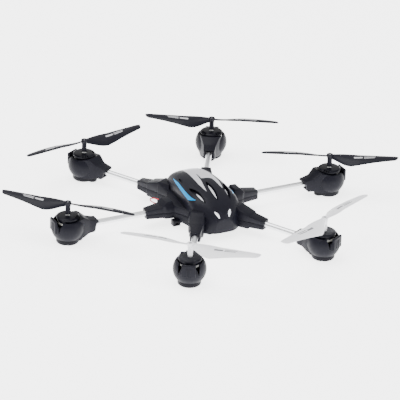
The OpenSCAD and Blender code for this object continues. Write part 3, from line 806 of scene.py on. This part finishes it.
def bladePoint(t, around):
    chord, twist = chordAt(t), radians(blade["twist"][0] + blade["twist"][1] * (1 - t) ** 2)
    q = 0.5 - 0.5 * cos(2 * pi * around)         # from the leading edge to the trailing edge and back
    lead = (2.6 + 1.2 * sin(pi * min(1, t / 0.4)) - 0.9 * t) * mm
    thick = (0.55 + 0.5 * (1 - t)) * mm
    belly = thick * 0.62 * sqrt(q) * (1 - q) ** 0.6 * 1.75 * (1 if around < 0.5 else -1)
    u = lead * tipRound(t) - q * chord
    w = belly + (2.4 * thick + blade["camber"] * chord) * q * (1 - q)
    r = blade["root"] + t * (blade["reach"] - blade["root"])
    return Vector((r, u * cos(twist) - w * sin(twist), (u - lead) * sin(twist) + w * cos(twist)))


def makeBladePaint(name, mark, base):            # the plain plastic with pale bars along the blade
    material = base.copy()
    material.name = name
    tree = material.node_tree
    wire, shader = Signal(tree), tree.nodes["Principled BSDF"]
    uv = wire.node("ShaderNodeUVMap", {"uv_map": "blade"})
    u = wire.node("ShaderNodeSeparateXYZ", output="X", Vector=uv)
    v = wire.node("ShaderNodeSeparateXYZ", output="Y", Vector=uv)

    def bar(u0, u1, v0, v1):
        return (u.step(u0 - 0.002, u0 + 0.002) * (1 - u.step(u1 - 0.002, u1 + 0.002))
                * v.step(v0 - 0.012, v0 + 0.012) * (1 - v.step(v1 - 0.012, v1 + 0.012)))

    marks = bar(*bars[0]).most(bar(*bars[1])).most(bar(*bars[2]))
    old = shader.inputs["Base Color"].links[0].from_socket
    feed(shader, "Base Color", marks.blend(Signal(tree, old), mark))
    return material


plainBlack = mouldedPlastic("plainBlack", 0.006, 0.36, 0.04)
plainWhite = whitePlastic("plainWhite")
bladeBlack = makeBladePaint("bladeBlack", (0.55, 0.55, 0.57, 1), plainBlack)
bladeWhite = makeBladePaint("bladeWhite", (0.16, 0.16, 0.18, 1), plainWhite)


def buildPropeller(arm):
    hub = middle(f"pod_cap_{arm}")
    white = arm.startswith("front")
    bm = bmesh.new()
    uv = bm.loops.layers.uv.new("blade")
    bmesh.ops.create_grid(bm, x_segments=blade["around"], y_segments=blade["along"], size=0.5)
    for face in bm.faces:
        for loop in face.loops:
            around = loop.vert.co.x + 0.5
            loop[uv].uv = (loop.vert.co.y + 0.5, 0.5 - 0.5 * cos(2 * pi * around))
        face.material_index = 0 if face.calc_center_median().x < 0 else 1
    for v in bm.verts:
        v.co = bladePoint(v.co.y + 0.5, v.co.x + 0.5)
    bmesh.ops.remove_doubles(bm, verts=bm.verts, dist=0.002 * mm)
    bmesh.ops.holes_fill(bm, edges=[e for e in bm.edges if e.is_boundary], sides=0)
    bmesh.ops.recalc_face_normals(bm, faces=bm.faces)
    other = bmesh.ops.duplicate(bm, geom=bm.verts[:] + bm.edges[:] + bm.faces[:])["geom"]
    bmesh.ops.rotate(bm, verts=[g for g in other if isinstance(g, bmesh.types.BMVert)], cent=(0, 0, 0),
                     matrix=Matrix.Rotation(pi, 3, "Z"))
    if arm in turnsClockwise:
        bmesh.ops.scale(bm, verts=bm.verts, vec=(1, -1, 1))
        bmesh.ops.reverse_faces(bm, faces=bm.faces)
    turnedAbout(bm, bladeTurn[arm])
    bmesh.ops.translate(bm, verts=bm.verts, vec=(hub.x, hub.y, blade["top"]))
    inks = [bladeWhite, plainWhite] if white else [bladeBlack, plainBlack]
    finishPiece(bm, f"blades_{arm}", f"rotor_{arm}", inks,
                [f"propeller_{arm}"], 50)


hubShape = {                 # (radius, height) of the hub, from its lower end up and back down the screw pit
    "outer": [(1.05, 29.7), (2.3, 29.7), (2.5, 29.9), (2.5, 37.6), (2.8, 38.2), (3.35, 41.6), (3.3, 42.3),
              (2.9, 42.65), (1.7, 42.7), (1.5, 42.5), (1.45, 41.2), (1.05, 41.1)],
    "screw": [(0, 41.2), (1.3, 41.2), (1.3, 41.8), (1.1, 42.15), (0.6, 42.3), (0, 42.3)],
}


def buildHub(arm):
    hub = middle(f"pod_cap_{arm}")
    white = arm.startswith("front")
    for name, key, slotName, material in (
            (f"hub_{arm}", "outer", "blade_white" if white else "blade_black",
             plainWhite if white else plainBlack),
            (f"hubScrew_{arm}", "screw", "screw_steel", screwSteel)):
        bm = bmesh.new()
        spinProfile(bm, [(r * mm, z * mm) for r, z in hubShape[key]], Vector((0, 0, 1)), 40)
        if key == "screw":
            top = [f for f in bm.faces if f.calc_center_median().z > 42.2 * mm]
            slit = [f for f in top if abs(f.calc_center_median().x) < 0.25 * mm]
            bmesh.ops.translate(bm, verts=list({v for f in slit for v in f.verts}), vec=(0, 0, -0.35 * mm))
        bmesh.ops.translate(bm, verts=bm.verts, vec=(hub.x, hub.y, 0))
        finishPiece(bm, name, f"rotor_{arm}", [material])


for arm in arms:
    buildPropeller(arm)
    buildHub(arm)
print("stage: propellers ready")

# what stays as it is made, with its own finish

dress(["motors", "shaft_bearings", "switch_body"], steelGrey)
dress(["hull_screws", "pod_screws"], screwSteel)
dress(["circuit_board"], boardMask)
dress(["battery"], batteryWrap)
dress(["battery_lead"], wireRed)
dress(["battery_plug"], plugCream)
dress([f"rotor_gear_{arm}" for arm in arms], gearNylon)
dress([f"motor_pinion_{arm}" for arm in arms], pinionBrass)
print("stage: dressed")
